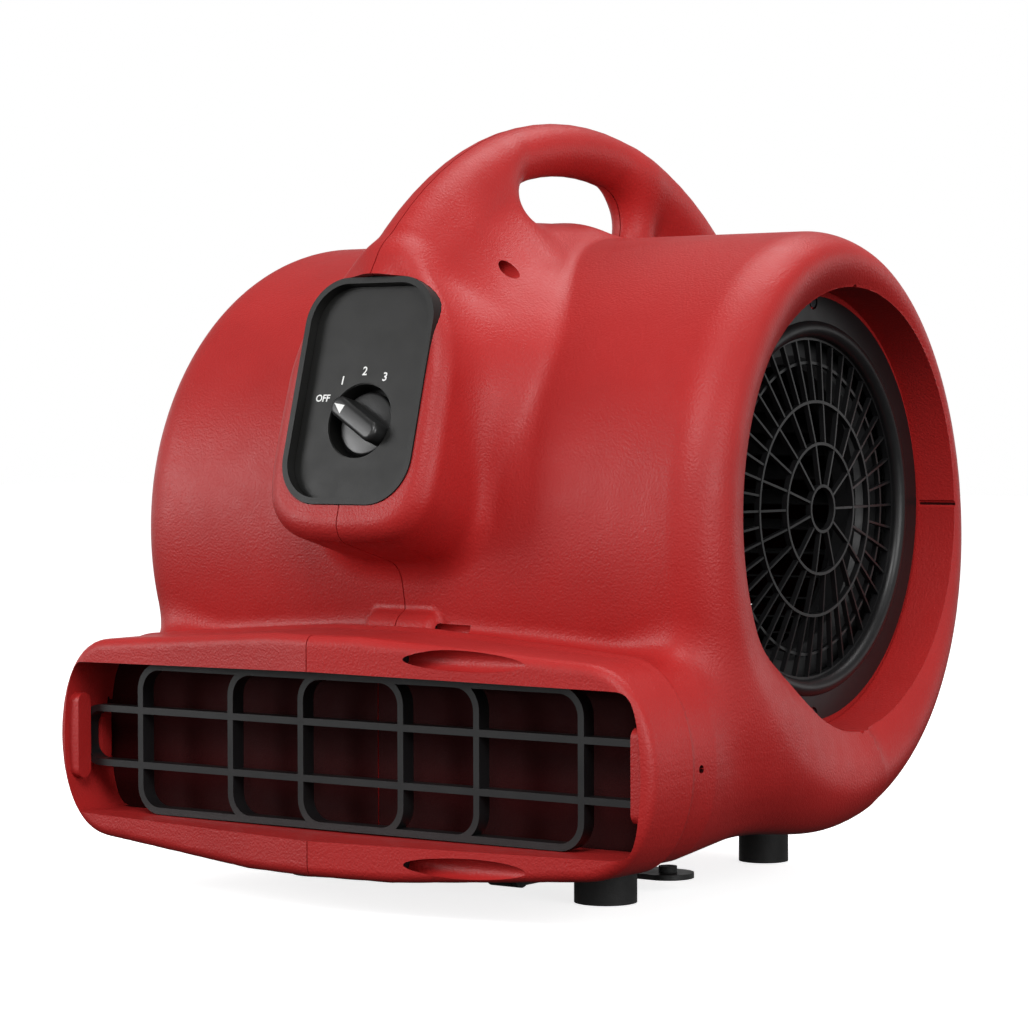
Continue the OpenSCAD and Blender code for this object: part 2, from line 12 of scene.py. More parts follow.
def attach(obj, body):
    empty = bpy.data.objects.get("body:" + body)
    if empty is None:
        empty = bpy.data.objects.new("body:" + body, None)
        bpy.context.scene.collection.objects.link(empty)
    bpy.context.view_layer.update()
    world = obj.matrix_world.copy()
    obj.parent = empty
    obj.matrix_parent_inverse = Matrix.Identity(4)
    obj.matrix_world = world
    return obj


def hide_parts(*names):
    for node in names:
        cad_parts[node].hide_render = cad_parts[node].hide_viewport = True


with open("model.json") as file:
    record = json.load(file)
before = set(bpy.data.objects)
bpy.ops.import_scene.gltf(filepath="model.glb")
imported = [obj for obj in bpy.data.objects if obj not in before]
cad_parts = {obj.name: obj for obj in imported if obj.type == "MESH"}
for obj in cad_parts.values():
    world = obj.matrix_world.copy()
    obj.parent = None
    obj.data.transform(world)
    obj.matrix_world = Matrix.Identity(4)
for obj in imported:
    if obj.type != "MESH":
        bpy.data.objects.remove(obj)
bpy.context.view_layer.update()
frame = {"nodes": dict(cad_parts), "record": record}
nodes = frame["nodes"]
MM = 0.001
rad = math.radians

# ------------------------------------------------------------------ sizes, as in the CAD model
FAN = (74.0, 245.0)
DRUM = (48.0, 231.0)
DRUM_R, EDGE_R, WALL = 194.5, 34.0, 4.0
REAR_HALF, FRONT_HALF = 208.0, 232.0
SLANT = math.atan((FRONT_HALF - REAR_HALF) / (2 * DRUM_R))
END_HALF = (FRONT_HALF + REAR_HALF) / 2
LEDGE, DISH, INTAKE_R = 170.0, 203.0, 145.0
FRONT_Y, COLLAR_BACK, PROW = -242.5, -168.0, rad(6.7)
PANEL_Y, PANEL_Z, LEAN = -190.0, 323.0, rad(15.5)
SL, CL = math.sin(LEAN), math.cos(LEAN)
ARCH_Y, ARCH_Z, ARCH_R, GRIP_R = 38.0, 234.7, 251.3, 17.7
FOOT_H = 30.0
FEET = [(115.0, -86.0, 20.0), (97.0, 135.0, 17.0)]
# each screw's hole: y, z, the x it starts at, radius, length; the first two are the lip's recesses
SCREWS = [(-228, 160.5, 62, 6.5, 90), (-228, 36.5, 62, 6.5, 90), (-143, 171, 20, 5, 30),
          (-94, 400, 24, 6, 60), (8, 414, 30, 6, 60), (172, 374, 14, 6, 30),
          (230, 285, 16, 6, 14), (229, 172, 16, 6, 14), (158, 76, 16, 6, 14)]

RECESSES = 2
TUBED_SCREWS = 6
MOUTH_BACK_Y = -171
PANEL_HOLE = (101.6, 147.6, 30.3)          # width, height, corner radius
LENS_TAPER, LENS_END = 108, 160            # where a recess starts to taper, and where it ends
FLOOR_R, CUT_START = 128, 160              # opening in the intake's floor
SIDE_HOLE = (2.6, -156, 97)                # radius, y, z
GROOVE_R, GROOVE_AT = 2.8, 143.7
GRILLE_Z = 97
GRILLE_PADS = [(-206.4, 12, 56, 218), (-184, 9, 36, 219)]   # y, width, height, inner x
PAD_END, SPLIT_GAP = 229, 0.4


# ------------------------------------------------------------------ implicit shapes
def smin(a, b, k):
    """Union of two fields with a fillet about k wide on each side."""
    h = np.maximum(k - np.abs(a - b), 0.0) / k
    return np.minimum(a, b) - h * h * k * 0.25


def smax(a, b, k):
    return -smin(-a, -b, k)


def rounded(a, b, r):
    """Intersection of two fields with a round edge of radius r."""
    p, q = a + r, b + r
    return np.minimum(np.maximum(p, q), 0) + np.hypot(np.maximum(p, 0), np.maximum(q, 0)) - r


def ramp(v, a, b):
    """Smooth step from 0 at a to 1 at b; it falls when a is above b."""
    t = np.clip((v - a) / (b - a), 0, 1)
    return t * t * (3 - 2 * t)


def half_outline(in_z, in_x):
    """Right half of the outlet lip's outline, moved in by the given amounts."""
    z1, z0 = 162.5 - in_z, 33 + in_z
    mid, hh, aw = (z1 + z0) / 2, (z1 - z0) / 2, 234 - in_x - 182
    pts = [(0, 24 + in_z)]
    pts += [(182 + aw * max(math.cos(rad(a)), 0) ** 0.8, mid + hh * math.sin(rad(a)))
            for a in range(-90, 91, 5)]
    return np.array(pts + [(0, 173 - in_z)])


def mouth_outline(out):
    """Right half of the mouth's outline, moved out."""
    pts = [(0, 46.6 - out)]
    pts += [(207 + (20 + out) * max(math.cos(rad(a)), 0) ** 0.6, 97 + (49.5 + out) * math.sin(rad(a)))
            for a in range(-90, 91, 5)]
    return np.array(pts + [(0, 150.6 + out)])


ANGLES = np.radians(np.arange(-90, 91, 4.0))
DIRS = np.stack([np.cos(ANGLES), np.sin(ANGLES)], 1)
DUCT_BACK = np.array([(0, 37), (140, 37), (180, 54), (196, 84), (196, 120), (0, 120)], float)


def support(points):
    return (points @ DIRS.T).max(0)


def convex(u, v, h, h2=None, t=None, k=0.0):
    """Distance field of a convex outline with support h, or of a loft from h to h2 at t."""
    d = None
    for i, (c, s) in enumerate(DIRS):
        e = u * c + v * s - (h[i] if h2 is None else h[i] + (h2[i] - h[i]) * t)
        d = e if d is None else (smax(d, e, k) if k else np.maximum(d, e))
    return d


def polygon_field(u, v, pts, k):
    """Convex polygon as a smooth intersection of its sides; pts go round anticlockwise."""
    d = None
    for a, b in zip(pts, pts[1:]):
        n = np.array([b[1] - a[1], a[0] - b[0]], float)
        n /= np.hypot(*n)
        e = (u - a[0]) * n[0] + (v - a[1]) * n[1]
        d = e if d is None else smax(d, e, k)
    return d


def panel_frame(y, z):
    """Distances up the panel's slope and out of it."""
    return (y - PANEL_Y) * SL + (z - PANEL_Z) * CL, -(y - PANEL_Y) * CL + (z - PANEL_Z) * SL


def pod_outline():
    """Right half of the pod's outline in the panel's plane."""
    w, b = 66.0, -96.0
    pts = [(0, b)] + [(w - 38 + 38 * math.cos(rad(a)), b + 38 + 38 * math.sin(rad(a)))
                      for a in range(-90, 1, 10)]
    return pts + [(w - 3, 25), (w - 15, 56), (w - 33, 80), (17, 97), (0, 99)]


def tube(x, y, z, pts, r):
    """Distance to a chain of [y, z] points in the middle plane."""
    d = None
    for (a, b), (c, e) in zip(pts, pts[1:]):
        ly, lz = c - a, e - b
        t = np.clip(((y - a) * ly + (z - b) * lz) / (ly * ly + lz * lz), 0, 1)
        q = (y - a - ly * t) ** 2 + (z - b - lz * t) ** 2
        d = q if d is None else np.minimum(d, q)
    return np.sqrt(d + x * x) - r


POD = pod_outline()
HU, HB, HC = support(half_outline(3, 3)), support(DUCT_BACK), support(half_outline(0, 0))
HM = support(mouth_outline(WALL))
ARCH = [(ARCH_Y + ARCH_R * math.cos(rad(a)), ARCH_Z + ARCH_R * math.sin(rad(a)))
        for a in np.arange(146, 49, -4.0)]
ARCH += [(212.5, 415), (219, 398), (219.5, 378), (213, 355), (200, 330)]


def drum(x, y, z):
    """The drum's field, with rounded, slanting ends."""
    rho = np.hypot(y - DRUM[0], z - DRUM[1]) - DRUM_R
    end = (x * math.cos(SLANT) + (y - DRUM[0]) * math.sin(SLANT)) - END_HALF * math.cos(SLANT)
    d = rounded(rho, end, EDGE_R)
    # the end rolls over into a dish round the intake
    r = np.maximum(np.hypot(y - FAN[0], z - FAN[1]) - INTAKE_R, 0)
    return smax(d, (x - DISH - r) * 0.707 - 0.3, 20)


def shoulder(x, y, z):
    """A low swelling on the drum beside the pod that meets the drum in a soft crease."""
    rho = np.hypot(y - DRUM[0], z - DRUM[1])
    a = np.degrees(np.arctan2(z - DRUM[1], DRUM[0] - y))
    edge = 97 - 52 * ramp(a, 34, 82)
    tall = 27 * ramp(a, 3, 26) * (1 - 0.55 * ramp(a, 60, 84)) * (1 - ramp(a, 84, 100))
    t = np.clip(x / edge, 0, 1.6)
    return np.maximum((rho - DRUM_R + 5 - (tall + 5) * (1 - t ** 2.6)) * 0.85, x - 110)


def outer(x, y, z):
    """The housing's outer skin."""
    x = np.sqrt(x * x + 0.01)
    d_drum = drum(x, y, z)
    t = np.clip((y + 138) / (69 + 138), 0, 1)
    duct = rounded(convex(x, z, HU, HB, t), -y - 172, 3)
    duct = np.maximum(duct, y - 70)
    front = (FRONT_Y + x * math.tan(PROW) - y) * math.cos(PROW)
    collar = rounded(convex(x, z, HC), front, 7)
    collar = rounded(collar, y - COLLAR_BACK, 2)
    # the drum meets the duct in a fillet that is widest at the shoulders
    f = smin(d_drum, duct, 13 + 20 * ramp(x, 150, 215))
    f = smin(f, collar, 5 + 9 * ramp(z, 150, 172))
    f = smin(f, shoulder(x, y, z), 5)
    # pod
    u, v = panel_frame(y, z)
    side = polygon_field(x, u, POD, 6)
    pod = rounded(side, v, 13)
    pod = np.maximum(pod, -v - 150)
    f = smin(f, pod, 12 + 26 * ramp(u, -60, 60))
    # handle: a bent tube, a broad front leg, a rear pillar and a thin web behind it
    grip = tube(x, y, z, ARCH, GRIP_R)
    rho = np.hypot(y - ARCH_Y, z - ARCH_Z)
    leg = rounded(smax(y + 45, rho - ARCH_R, 10), x - 15.5 - 10 * ramp(z, 470, 400), 13)
    leg = np.maximum(leg, 370 - z)
    leg = np.maximum(leg, -150 - y)
    handle = smin(grip, leg, 22)
    pillar = rounded(np.hypot((y - 120) / 16.0, x / 14.0) * 14 - 14, rho - ARCH_R, 3)
    pillar = np.maximum(pillar, 380 - z)
    web = rounded(smax(120 - y, rho - ARCH_R, 6), x - 5.5, 2)
    web = np.maximum(np.maximum(web, 340 - z), y - 214)
    handle = smin(handle, smin(pillar, web, 8), 20)
    f = smin(f, handle, 18 + 22 * ramp(y, 20, -60) - 30 * ramp(y, -105, -145))
    # pads over the feet and the hinge, a small boss at the neck's screw
    for fx, fy, fr in FEET:
        pad = rounded(np.hypot(x - fx, y - fy) - fr - 3, FOOT_H - z, 2)
        f = smin(f, np.maximum(pad, z - 90), 4)
    pad = rounded(rounded(np.abs(x - 76) - 20, np.abs(y + 113) - 17, 4), 24 - z, 2)
    f = smin(f, np.maximum(pad, z - 60), 4)
    boss = rounded(np.hypot(y + 141, z - 170) - 13, x - 27, 6)
    f = smin(f, boss, 4)
    return f


def cavity(x, y, z):
    """The hollow inside: the skin's offset, less the sleeve, the intake's wall and the screw tubes."""
    x = np.abs(x)
    c = outer(x, y, z) + WALL
    sleeve = np.maximum(convex(x, z, HM), y + 176)
    r = np.hypot(y - FAN[0], z - FAN[1])
    plug = np.maximum(np.minimum(r - 149, np.maximum((r - 149 - (x - 200)) * 0.707, 200 - x)), 166 - x)
    c = np.maximum(c, -sleeve)
    c = np.maximum(c, -plug)
    for sy, sz, sx, sr, sl in SCREWS[:TUBED_SCREWS]:
        c = np.maximum(c, -np.maximum(np.hypot(y - sy, z - sz) - sr - 3.5, x - sx - sl - 30))
    return c


def newton(field, p, times):
    """Moves points onto the field's zero, and returns them with their outward normals."""
    e = 0.15
    for turn in range(times + 1):
        g = np.empty_like(p)
        for a in range(3):
            q = p.copy()
            q[:, a] += e
            hi = field(*q.T)
            q[:, a] -= 2 * e
            g[:, a] = (hi - field(*q.T)) / (2 * e)
        n2 = np.maximum((g * g).sum(1), 0.05)
        if turn < times:
            step = (field(*p.T) / n2)[:, None] * g
            size = np.linalg.norm(step, axis=1, keepdims=True)
            p = p - step * np.minimum(1, 1.5 / np.maximum(size, 1e-9))
    return p, g / np.sqrt(n2)[:, None]


def untangle(V):
    """Flips the signs of single grid points until the surface through the grid is manifold."""
    def flip(corners, bad):
        idx = np.argwhere(bad)
        if not len(idx):
            return 0
        at = [tuple((idx + c).T) for c in corners]
        w = np.argmin(np.abs(np.stack([V[a] for a in at])), 0)
        for i, a in enumerate(at):
            sel = tuple(x[w == i] for x in a)
            V[sel] = np.where(V[sel] < 0, 1e-3, -1e-3)
        return len(idx)

    unit = np.eye(3, dtype=int)
    for _ in range(40):
        n = 0
        for ax in range(3):
            u, v = unit[(ax + 1) % 3], unit[(ax + 2) % 3]
            cs = [0 * u, u, u + v, v]
            lim = np.array(V.shape) - u - v
            S = [(V < 0)[tuple(slice(c[k], c[k] + lim[k]) for k in range(3))] for c in cs]
            n += flip(cs, (S[0] == S[2]) & (S[1] == S[3]) & (S[0] != S[1]))
        for a in ((0, 0, 0), (1, 0, 0), (0, 1, 0), (0, 0, 1)):
            cs = [np.array(a), 1 - np.array(a)]
            rest = [np.array(c) for c in np.ndindex(2, 2, 2)]
            lim = np.array(V.shape) - 1
            ins = V < 0
            g = lambda c: ins[tuple(slice(c[k], c[k] + lim[k]) for k in range(3))]
            total = sum(g(c).astype(np.int8) for c in rest)
            n += flip(cs, g(cs[0]) & g(cs[1]) & (total == 2))
            n += flip(cs, ~g(cs[0]) & ~g(cs[1]) & (total == 6))
        if not n:
            break
    return V


def mesh_field(field, h, lo, hi):
    """Surface nets over a grid of pitch h, mirrored in the plane x = 0."""
    nx = int(math.ceil(hi[0] / h)) + 1
    xs = (np.arange(nx) + 0.5) * h
    ys, zs = np.arange(lo[1], hi[1] + h, h), np.arange(lo[2], hi[2] + h, h)
    V = np.empty((nx, len(ys), len(zs)), np.float32)
    Y, Z = np.meshgrid(ys, zs, indexing="ij")
    for i in range(0, nx, 8):
        X = xs[i:i + 8][:, None, None]
        V[i:i + 8] = field(np.broadcast_to(X, (X.shape[0],) + Y.shape), Y[None], Z[None])
    V = untangle(np.concatenate([V[::-1], V], 0))
    xs = np.concatenate([-xs[::-1], xs])
    ins = V < 0
    org, dims = np.array([xs[0], ys[0], zs[0]]), V.shape
    cell = lambda i, j, k: (i * dims[1] + j) * dims[2] + k
    cid, pos, quads = [], [], []
    for ax in range(3):
        a = [slice(None)] * 3
        b = [slice(None)] * 3
        a[ax], b[ax] = slice(0, -1), slice(1, None)
        A, B = ins[tuple(a)], ins[tuple(b)]
        I = np.argwhere(A != B)
        va, vb = V[tuple(a)][tuple(I.T)], V[tuple(b)][tuple(I.T)]
        t = va / (va - vb)
        P = I.astype(float)
        P[:, ax] += t
        P = org + P * h
        o1, o2 = (ax + 1) % 3, (ax + 2) % 3
        ring = []
        for s1, s2 in ((1, 1), (0, 1), (0, 0), (1, 0)):
            J = I.copy()
            J[:, o1] -= s1
            J[:, o2] -= s2
            c = cell(*J.T)
            ring.append(c)
            cid.append(c)
            pos.append(P)
        q = np.stack(ring, 1)
        flip = ~A[tuple(I.T)]
        q[flip] = q[flip][:, ::-1]
        quads.append(q)
    cid, pos, quads = np.concatenate(cid), np.concatenate(pos), np.concatenate(quads)
    ids, inv = np.unique(cid, return_inverse=True)
    n = np.bincount(inv)
    verts = np.stack([np.bincount(inv, pos[:, a]) / n for a in range(3)], 1)
    return verts, np.searchsorted(ids, quads)


# ------------------------------------------------------------------ mesh helpers
def make(name, verts, faces, mat=None):
    me = bpy.data.meshes.new(name)
    me.from_pydata([tuple(v) for v in np.asarray(verts) * MM], [], [tuple(map(int, f)) for f in faces])
    me.update()
    o = bpy.data.objects.new(name, me)
    bpy.context.scene.collection.objects.link(o)
    if mat is not None:
        me.materials.append(mat)
    return o


def prism(outline, z0, z1, place):
    """A closed prism of a 2-D outline; place maps (u, v, w) arrays to the frame's points."""
    n = len(outline)
    P = np.array([(u, v, w) for w in (z0, z1) for u, v in outline], float)
    P = np.stack(place(P[:, 0], P[:, 1], P[:, 2]), 1)
    F = [tuple(range(n))[::-1], tuple(range(n, 2 * n))]
    F += [(i, (i + 1) % n, n + (i + 1) % n, n + i) for i in range(n)]
    return P, F


def turned(profile, n, place):
    """A closed solid of revolution. profile is [(r, w)] with both ends on the axis (r = 0)."""
    P, F = [], []
    for r, w in profile:
        for k in range(n):
            a = 2 * math.pi * k / n
            P.append((r * math.cos(a), r * math.sin(a), w))
    m = len(profile)
    P = np.array(P)
    P = np.stack(place(P[:, 0], P[:, 1], P[:, 2]), 1)
    for i in range(m - 1):
        for k in range(n):
            a, b = i * n + k, i * n + (k + 1) % n
            F.append((a, b, b + n, a + n))
    return P, F


def along_x(cy, cz, s=1):
    return lambda u, v, w: (s * w, cy + u, cz + v) if s > 0 else (-w, cy + v, cz + u)


def clean(o):
    bm = bmesh.new()
    bm.from_mesh(o.data)
    bmesh.ops.remove_doubles(bm, verts=bm.verts, dist=1e-7)
    bmesh.ops.recalc_face_normals(bm, faces=bm.faces)
    bm.to_mesh(o.data)
    bm.free()
    return o


def cylinder(r, x0, x1, cy, cz, n=48):
    return clean(make("cutter", *turned([(0, x0), (r, x0), (r, x1), (0, x1)], n, along_x(cy, cz))))


def boolean(o, other, op):
    """Applies a boolean with another closed mesh and removes that mesh."""
    m = o.modifiers.new("b", "BOOLEAN")
    m.solver, m.operation, m.object = "MANIFOLD", op, other
    dg = bpy.context.evaluated_depsgraph_get()
    me = bpy.data.meshes.new_from_object(o.evaluated_get(dg))
    o.modifiers.clear()
    o.data = me
    bpy.data.objects.remove(other)
    return o


def join(objs):
    """One mesh of several closed meshes that don't touch."""
    V, F, n = [], [], 0
    for o in objs:
        V += [v.co[:] for v in o.data.vertices]
        F += [tuple(n + i for i in p.vertices) for p in o.data.polygons]
        n = len(V)
        bpy.data.objects.remove(o)
    return make("cutter", np.array(V) / MM, F)


def round_rect(w, h, r, n=10):
    pts = []
    for cx, cy, a0 in ((w / 2 - r, h / 2 - r, 0), (r - w / 2, h / 2 - r, 90),
                       (r - w / 2, r - h / 2, 180), (w / 2 - r, r - h / 2, 270)):
        pts += [(cx + r * math.cos(rad(a0 + 90 * i / n)), cy + r * math.sin(rad(a0 + 90 * i / n)))
                for i in range(n + 1)]
    return pts


def at_panel(u, v, w):
    """Panel's own frame: u across, v up its slope, w out of it."""
    return u, PANEL_Y + v * SL - w * CL, PANEL_Z + v * CL + w * SL


def smooth(o, angle=38):
    me = o.data
    me.polygons.foreach_set("use_smooth", np.ones(len(me.polygons), bool))
    me.set_sharp_from_angle(angle=rad(angle))
    return o


def mat_of(o, m):
    o.data.materials.clear()
    o.data.materials.append(m)
    o.data.polygons.foreach_set("material_index", np.zeros(len(o.data.polygons), np.int32))


# ------------------------------------------------------------------ materials
class Nodes:
    def __init__(self, name):
        self.m = bpy.data.materials.new(name)
        self.m.use_nodes = True
        self.t = self.m.node_tree
        self.b = self.t.nodes["Principled BSDF"]
        self.co = self.add("ShaderNodeTexCoord").outputs["Object"]

    def add(self, kind, **props):
        n = self.t.nodes.new(kind)
        for k, v in props.items():
            setattr(n, k, v)
        return n

    def link(self, a, b):
        self.t.links.new(a, b)

    def noise(self, scale, detail=2.0, rough=0.5, co=None):
        n = self.add("ShaderNodeTexNoise")
        n.inputs["Scale"].default_value = scale
        n.inputs["Detail"].default_value = detail
        n.inputs["Roughness"].default_value = rough
        self.link(co or self.co, n.inputs["Vector"])
        return n.outputs["Fac"]

    def voronoi(self, scale, feature="F1"):
        n = self.add("ShaderNodeTexVoronoi", feature=feature)
        n.inputs["Scale"].default_value = scale
        self.link(self.co, n.inputs["Vector"])
        return n.outputs["Distance"]

    def ramp(self, fac, stops):
        n = self.add("ShaderNodeValToRGB")
        e = n.color_ramp.elements
        while len(e) > 1:
            e.remove(e[0])
        e[0].position, e[0].color = stops[0]
        for p, c in stops[1:]:
            q = e.new(p)
            q.color = c
        self.link(fac, n.inputs["Fac"])
        return n.outputs["Color"]

    def range(self, fac, a, b, lo, hi):
        n = self.add("ShaderNodeMapRange")
        for k, v in zip(("From Min", "From Max", "To Min", "To Max"), (a, b, lo, hi)):
            n.inputs[k].default_value = v
        self.link(fac, n.inputs["Value"])
        return n.outputs["Result"]

    def math(self, op, a, b):
        n = self.add("ShaderNodeMath", operation=op)
        for i, v in enumerate((a, b)):
            if isinstance(v, (int, float)):
                n.inputs[i].default_value = v
            else:
                self.link(v, n.inputs[i])
        return n.outputs[0]

    def bump(self, height, strength, distance, normal=None):
        n = self.add("ShaderNodeBump")
        n.inputs["Strength"].default_value = strength
        n.inputs["Distance"].default_value = distance
        self.link(height, n.inputs["Height"])
        if normal is not None:
            self.link(normal, n.inputs["Normal"])
        return n.outputs["Normal"]

    def set(self, **v):
        for k, x in v.items():
            k = k.replace("_", " ")
            if hasattr(x, "is_linked") or hasattr(x, "links"):
                self.link(x, self.b.inputs[k])
            else:
                self.b.inputs[k].default_value = x


def srgb(r, g, b):
    f = lambda c: c / 12.92 if c <= 0.04045 else ((c + 0.055) / 1.055) ** 2.4
    return (f(r / 255), f(g / 255), f(b / 255), 1.0)


def plastic(name, low, high, rough=(0.42, 0.5), grain=900.0, depth=0.00012, strength=0.35,
            spec=0.5, wave=True):
    """Pebbled moulded plastic: fine grain, faint cloudiness and slow waves from the mould."""
    n = Nodes(name)
    cloud = n.noise(9.0, 3.0, 0.55)
    n.set(Base_Color=n.ramp(cloud, [(0.3, low), (0.7, high)]))
    fine = n.noise(grain, 2.0, 0.6)
    pebble = n.voronoi(grain * 1.15, "SMOOTH_F1")
    h = n.math("ADD", fine, n.math("MULTIPLY", pebble, -0.9))
    n.set(Roughness=n.range(n.noise(60.0, 4.0, 0.6), 0.3, 0.7, *rough))
    normal = n.bump(h, strength, depth)
    if wave:
        normal = n.bump(n.noise(14.0, 1.0, 0.4), 0.10, 0.0016, normal)
    n.set(Normal=normal, Specular_IOR_Level=spec)
    return n.m


def metal(name, low, high, rough=(0.3, 0.42), metallic=1.0, scale=(1, 1, 1), grain=700.0):
    n = Nodes(name)
    mp = n.add("ShaderNodeMapping")
    mp.inputs["Scale"].default_value = scale
    n.link(n.co, mp.inputs["Vector"])
    brushed = n.noise(grain, 4.0, 0.6, mp.outputs["Vector"])
    n.set(Base_Color=n.ramp(n.noise(25.0, 4.0, 0.6), [(0.3, low), (0.7, high)]), Metallic=metallic)
    n.set(Roughness=n.range(brushed, 0.3, 0.7, *rough))
    n.set(Normal=n.bump(brushed, 0.15, 0.0001))
    return n.m


RED = plastic("housing_red", srgb(158, 32, 31), srgb(170, 37, 36), (0.40, 0.50), 620.0, 0.0003, 0.7,
             0.3)
# painted shade: the hollow's inner faces get a near-black red that stands in for the shade inside the
# housing
SHADE_INSIDE = plastic("housing_inside_painted_shade", srgb(40, 5, 6), srgb(50, 7, 8), (0.6, 0.7), 620.0, 0.0002, 0.4,
                 0.08)
GRILLE = plastic("grille_black", srgb(18, 18, 19), srgb(24, 24, 25), (0.34, 0.44), 1500.0, 0.00006, 0.2,
                 0.4)
PANEL = plastic("panel_black", srgb(22, 22, 21), srgb(28, 28, 27), (0.42, 0.5), 1300.0, 0.00008, 0.25, 0.3,
                wave=False)
KNOB = plastic("knob_black", srgb(30, 30, 30), srgb(42, 42, 42), (0.30, 0.38), 1500.0, 0.00005, 0.2,
               wave=False)
MOULD = plastic("moulding_black", srgb(24, 24, 25), srgb(34, 34, 35), (0.45, 0.6), 1200.0, 0.00008, 0.3)
RUBBER = plastic("rubber_black", srgb(14, 14, 14), srgb(26, 26, 26), (0.62, 0.8), 800.0, 0.00018, 0.45)
WHEEL = plastic("wheel_black", srgb(16, 16, 17), srgb(26, 26, 27), (0.5, 0.65), 1200.0, 0.00008, 0.3)
PAINT = plastic("stand_paint", srgb(18, 18, 18), srgb(26, 26, 26), (0.38, 0.5), 500.0, 0.0002, 0.4)
MOTOR = plastic("motor_paint", srgb(24, 24, 26), srgb(36, 36, 38), (0.35, 0.5), 300.0, 0.0001, 0.3)
CAPS = plastic("capacitor_shell", srgb(170, 170, 172), srgb(190, 190, 192), (0.3, 0.4), 900.0, 0.00005,
               0.2)
BLACKZ = metal("screw_steel", srgb(44, 44, 48), srgb(70, 70, 74), (0.34, 0.5))
ZINC = metal("zinc_steel", srgb(165, 166, 170), srgb(195, 196, 200), (0.28, 0.42))
IRON = metal("motor_iron", srgb(110, 110, 114), srgb(140, 140, 144), (0.4, 0.55), scale=(14, 1, 1))
COPPER = metal("winding_copper", srgb(150, 82, 44), srgb(190, 112, 64), (0.3, 0.4), scale=(1, 9, 9))
BRASS = metal("terminal_brass", srgb(190, 160, 96), srgb(215, 186, 120), (0.28, 0.4))
PRINT = plastic("printed_white", srgb(228, 228, 226), srgb(240, 240, 238), (0.5, 0.6), 900.0, 0.00003,
                0.1, wave=False)
SLOT_MAT = {"housing_red": RED, "grille_black": GRILLE, "panel_black": PANEL, "moulding_black": MOULD,
            "rubber_black": RUBBER, "screw_steel": BLACKZ, "wheel_black": WHEEL, "zinc_steel": ZINC,
            "motor_iron": IRON, "winding_copper": COPPER, "motor_paint": MOTOR, "stand_paint": PAINT,
            "terminal_brass": BRASS, "capacitor_shell": CAPS}

# ------------------------------------------------------------------ housing
SKIN_GRID, HOLLOW_GRID = 3.0, 5.0
lo, hi = (0, -250, 18), (240, 250, 512)
V, Q = mesh_field(outer, SKIN_GRID, lo, hi)
V, _ = newton(outer, V, 3)
body = make("housing", V, Q)
V, Q = mesh_field(cavity, HOLLOW_GRID, lo, hi)
boolean(body, make("hollow", V, Q), "DIFFERENCE")
# the mouth, the panel's opening, the screws' holes and the intakes
half = mouth_outline(0)
ring = [(x, z) for x, z in half] + [(-x, z) for x, z in half[::-1] if x > 0]
cuts = [clean(make("cutter", *prism(ring, -260, MOUTH_BACK_Y, lambda u, v, w: (u, w, v)))),
        clean(make("cutter", *prism(round_rect(*PANEL_HOLE), -16, 20, at_panel)))]
for sy, sz, sx, sr, sl in SCREWS[RECESSES:]:
    cuts.append(cylinder(sr, sx, sx + sl, sy, sz, 32))
for s in (1, -1):
    a, b = sorted((s * 212, s * 245))
    cuts.append(cylinder(SIDE_HOLE[0], a, b, *SIDE_HOLE[1:], 24))
boolean(body, join(cuts), "DIFFERENCE")
# the long recesses in the lip's face run out to a point, and the intakes are turned
sy, sz, sx, sr, sl = SCREWS[0]
lens = [(0, sx), (sr, sx)]
lens += [(sr * math.cos(rad(a)), LENS_TAPER + (LENS_END - LENS_TAPER) * math.sin(rad(a)))
         for a in range(0, 90, 6)] + [(0, LENS_END)]
cuts = [clean(make("cutter", *turned(lens, 48, along_x(y, z)))) for y, z, *_ in SCREWS[:RECESSES]]
profile = [(0, CUT_START), (FLOOR_R, CUT_START), (FLOOR_R, LEDGE), (INTAKE_R, LEDGE),
           (INTAKE_R, DISH + 45), (0, DISH + 45)]
for s in (1, -1):
    cuts.append(clean(make("cutter", *turned(profile, 144, along_x(*FAN, s)))))
boolean(body, join(cuts), "DIFFERENCE")
# four grooves along each intake's wall
cuts = []
for s in (1, -1):
    a, b = sorted((s * (LEDGE + 2), s * (DISH + 30)))
    for k in range(4):
        turn = k * math.pi / 2
        cuts.append(cylinder(GROOVE_R, a, b, FAN[0] + GROOVE_AT * math.sin(turn),
                             FAN[1] + GROOVE_AT * math.cos(turn), 20))
boolean(body, join(cuts), "DIFFERENCE")
# pads that hold the outlet grille at the lip's ends
pads = []
for s in (1, -1):
    for cy, w, h, x0 in GRILLE_PADS:
        pads.append(clean(make("pad", *prism(round_rect(w, h, w / 2 - 0.1), x0, PAD_END,
                                             lambda u, v, t: (s * t, cy + u, GRILLE_Z + v)))))
boolean(body, join(pads), "UNION")
halves = []
for s in (1, -1):
    side = body if s < 0 else body.copy()
    if s > 0:
        side.data = body.data.copy()
        bpy.context.scene.collection.objects.link(side)
    box = prism([(-300, -300), (300, -300), (300, 600), (-300, 600)], SPLIT_GAP, 300,
                lambda u, v, w: (s * w, u, v))
    boolean(side, clean(make("cutter", *box)), "INTERSECT")
    halves.append(side)


